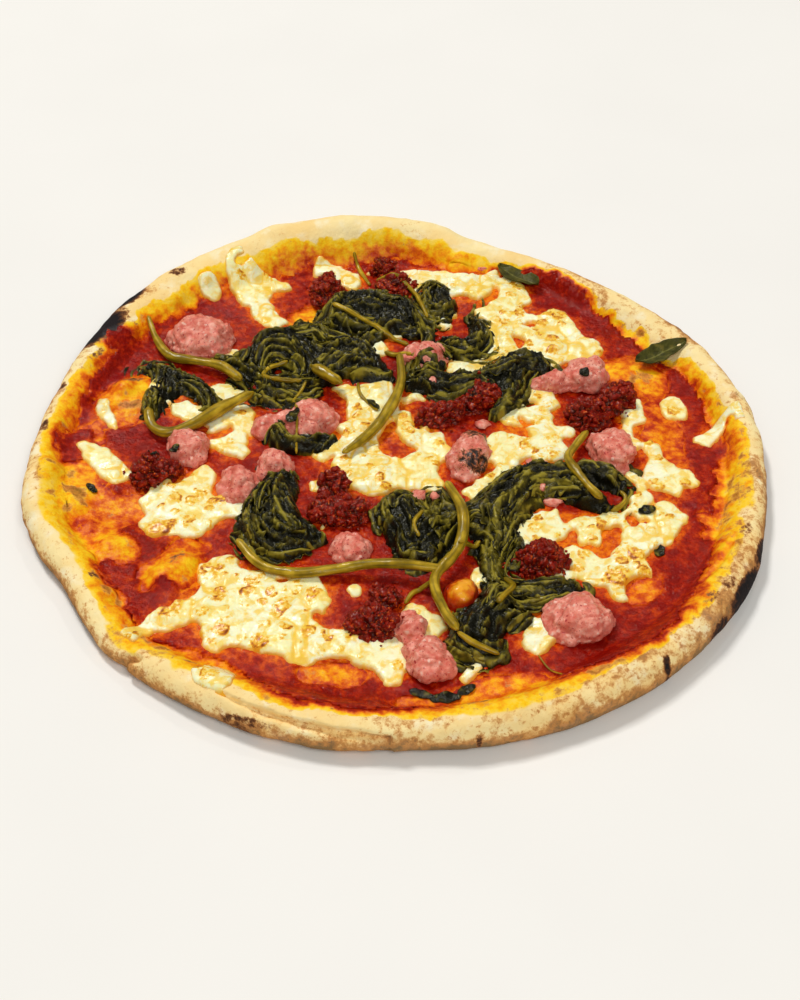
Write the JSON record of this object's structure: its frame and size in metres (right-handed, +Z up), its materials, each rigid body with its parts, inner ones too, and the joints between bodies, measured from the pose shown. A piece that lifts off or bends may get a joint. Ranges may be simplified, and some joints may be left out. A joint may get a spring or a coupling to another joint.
{
  "type": "sausage and broccoli rabe pizza",
  "caption": "Round baked pizza with a puffed rim, melted mozzarella, pink sausage, dark red spicy sausage, wilted broccoli rabe with its stems, basil and a roast tomato",
  "frame": {"origin": "middle of the crust's bounding box, on the surface that the pizza rests on", "axes": "+Z is up, out of the toppings; -Y is the side nearest the viewer in the picture; +X is to the viewer's right"},
  "size_m": [0.317, 0.3268, 0.0215],
  "materials": {
    "crust": "dry baked dough, floury tan with brown and charred places",
    "mozzarella": "melted cheese, cream with golden blisters, oily",
    "sausage": "pink coarse sausage meat with pale fat, moist",
    "spicy_sausage": "dark red crumbly soft sausage with burnt tips, oily",
    "rabe_leaf": "wilted dark green leaf, wet",
    "rabe_stem": "cooked olive-yellow stem, wet",
    "basil": "wilted leaf",
    "tomato": "tomato flesh and sauce, wet"
  },
  "bodies": {
    "root": {"crust": "crust", "rabe_stem_01": "rabe_stem", "rabe_stem_02": "rabe_stem", "rabe_stem_03": "rabe_stem", "rabe_stem_04": "rabe_stem", "rabe_stem_05": "rabe_stem", "rabe_stem_06": "rabe_stem", "rabe_stem_07": "rabe_stem", "sausage_01": "sausage", "sausage_02": "sausage", "sausage_03": "sausage", "sausage_04": "sausage", "sausage_05": "sausage", "sausage_06": "sausage", "sausage_07": "sausage", "sausage_08": "sausage", "sausage_09": "sausage", "sausage_10": "sausage", "sausage_11": "sausage", "spicy_sausage_01": "spicy_sausage", "spicy_sausage_02": "spicy_sausage", "spicy_sausage_03": "spicy_sausage", "spicy_sausage_04": "spicy_sausage", "spicy_sausage_05": "spicy_sausage", "spicy_sausage_06": "spicy_sausage", "spicy_sausage_07": "spicy_sausage", "spicy_sausage_08": "spicy_sausage", "tomato": "tomato", "rabe_leaf_01": "rabe_leaf", "rabe_leaf_02": "rabe_leaf", "rabe_leaf_03": "rabe_leaf", "rabe_leaf_04": "rabe_leaf", "rabe_leaf_05": "rabe_leaf", "rabe_leaf_06": "rabe_leaf", "rabe_leaf_07": "rabe_leaf", "rabe_leaf_08": "rabe_leaf", "rabe_leaf_09": "rabe_leaf", "rabe_leaf_10": "rabe_leaf", "rabe_leaf_11": "rabe_leaf", "rabe_leaf_12": "rabe_leaf", "basil_01": "basil", "basil_02": "basil", "mozzarella_01": "mozzarella", "mozzarella_02": "mozzarella", "mozzarella_03": "mozzarella", "mozzarella_04": "mozzarella", "mozzarella_05": "mozzarella", "mozzarella_06": "mozzarella", "mozzarella_07": "mozzarella", "mozzarella_08": "mozzarella", "mozzarella_09": "mozzarella", "mozzarella_10": "mozzarella", "mozzarella_11": "mozzarella", "mozzarella_12": "mozzarella", "mozzarella_13": "mozzarella", "mozzarella_14": "mozzarella", "mozzarella_15": "mozzarella", "mozzarella_16": "mozzarella", "mozzarella_17": "mozzarella", "mozzarella_18": "mozzarella"}
  },
  "joints": []
}
